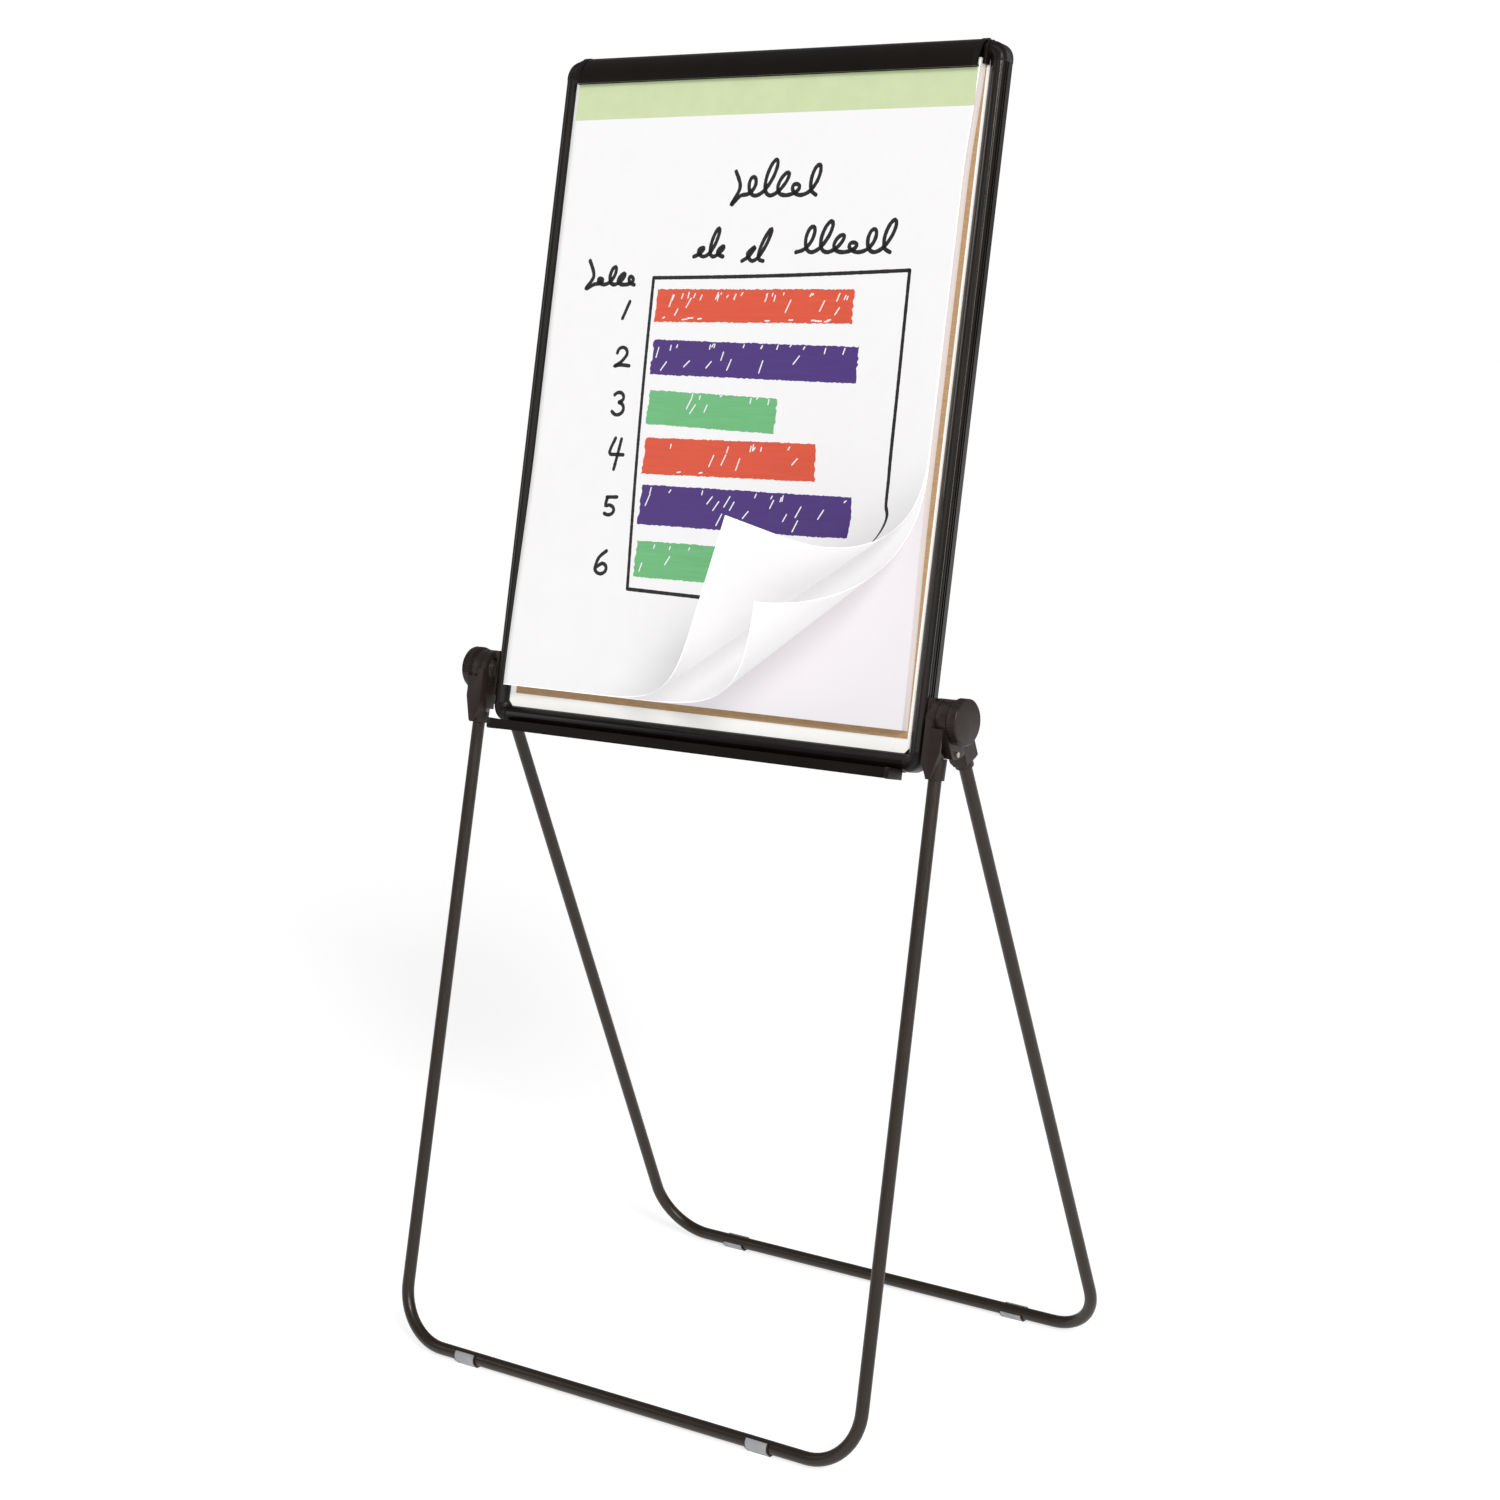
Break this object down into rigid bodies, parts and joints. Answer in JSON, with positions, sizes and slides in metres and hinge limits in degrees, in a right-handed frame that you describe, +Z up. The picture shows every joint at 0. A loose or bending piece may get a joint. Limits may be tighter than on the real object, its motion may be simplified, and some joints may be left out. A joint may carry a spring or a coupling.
{
  "type": "flipchart easel",
  "caption": "Folding flipchart easel with U-shaped tube legs, a tilting framed writing board, pen tray, sprung clamp bar and a paper pad with lifted sheets.",
  "frame": {"origin": "on the floor, under the middle of the easel's bounding box", "axes": "+Z up, +X to the right seen from the front, +Y to the back, so the writing side faces -Y"},
  "size_m": [0.858, 0.6498, 1.8511],
  "materials": {
    "tube_paint": "satin brown-black paint",
    "hinge_plastic": "matte, dark grey-brown",
    "foot_plastic": "matte light grey, finely ribbed",
    "steel": "plain zinc-plated steel",
    "rail_gloss": "glossy black-brown",
    "cap_plastic": "semi-matte dark grey-brown",
    "board_white": "semi-gloss off-white writing surface",
    "board_fibre": "pressed wood fibre",
    "back_sheet": "matte grey balancing sheet",
    "clamp_paint": "glossy black-brown paint",
    "grip_rubber": "matte",
    "backing_card": "grey-brown chipboard",
    "paper_white": "smooth white flipchart paper",
    "binding_tape": "pale green binding tape",
    "insert_brass": "turned brass"
  },
  "bodies": {
    "front_legs": {"front_leg_tube": "tube_paint", "front_socket_left": "hinge_plastic", "front_socket_right": "hinge_plastic", "front_foot_left": "foot_plastic", "front_foot_right": "foot_plastic", "front_rivets": "steel"},
    "rear_legs": {"rear_leg_tube": "tube_paint", "rear_socket_left": "hinge_plastic", "rear_socket_right": "hinge_plastic", "rear_foot_left": "foot_plastic", "rear_foot_right": "foot_plastic", "rear_rivets": "steel", "stop_screws": "steel", "knuckle_washers": "steel"},
    "board": {"left_rail": "rail_gloss", "right_rail": "rail_gloss", "top_rail": "rail_gloss", "bottom_rail": "rail_gloss", "cap_top_left": "cap_plastic", "cap_top_right": "cap_plastic", "cap_bottom_left": "cap_plastic", "cap_bottom_right": "cap_plastic", "board_face": "board_white", "board_core": "board_fibre", "board_back": "back_sheet", "bracket_left": "hinge_plastic", "bracket_right": "hinge_plastic", "bracket_screws": "steel", "pivot_bolt_left": "steel", "pivot_bolt_right": "steel", "boss_washers": "steel", "pen_tray": "rail_gloss", "tray_plug_left": "cap_plastic", "tray_plug_right": "cap_plastic", "tray_screws": "steel", "clamp_block_left": "cap_plastic", "clamp_block_right": "cap_plastic", "clamp_rod": "steel", "clamp_springs": "steel", "pad_backing": "backing_card", "pad_pages": "paper_white", "pad_binding": "binding_tape", "second_sheet": "paper_white", "front_sheet": "paper_white"},
    "clamp": {"clamp_bar": "clamp_paint", "clamp_grip": "grip_rubber", "clamp_trim_left": "cap_plastic", "clamp_trim_right": "cap_plastic"},
    "left_knob": {"knob_left": "hinge_plastic", "knob_insert_left": "insert_brass"},
    "right_knob": {"knob_right": "hinge_plastic", "knob_insert_right": "insert_brass"}
  },
  "joints": [
    {"name": "leg_spread", "type": "hinge", "parent": "front_legs", "child": "rear_legs", "pos_m": [0, -0.10378, 0.974], "axis": [-1, 0, 0], "range_deg": [0, 34.2]},
    {"name": "board_tilt", "type": "hinge", "parent": "front_legs", "child": "board", "pos_m": [0, -0.10378, 0.974], "axis": [-1, 0, 0], "range_deg": [-11.2, 180]},
    {"name": "clamp_lift", "type": "hinge", "parent": "board", "child": "clamp", "pos_m": [0, 0.06448, 1.84439], "axis": [-1, 0, 0], "range_deg": [0, 40], "stiffness_Nm_per_rad": 0.5, "springref_deg": -17.19},
    {"name": "left_knob_turn", "type": "hinge", "parent": "board", "child": "left_knob", "pos_m": [0, -0.10378, 0.974], "axis": [-1, 0, 0], "range_deg": [0, 360]},
    {"name": "right_knob_turn", "type": "hinge", "parent": "board", "child": "right_knob", "pos_m": [0, -0.10378, 0.974], "axis": [-1, 0, 0], "range_deg": [0, 360]}
  ]
}
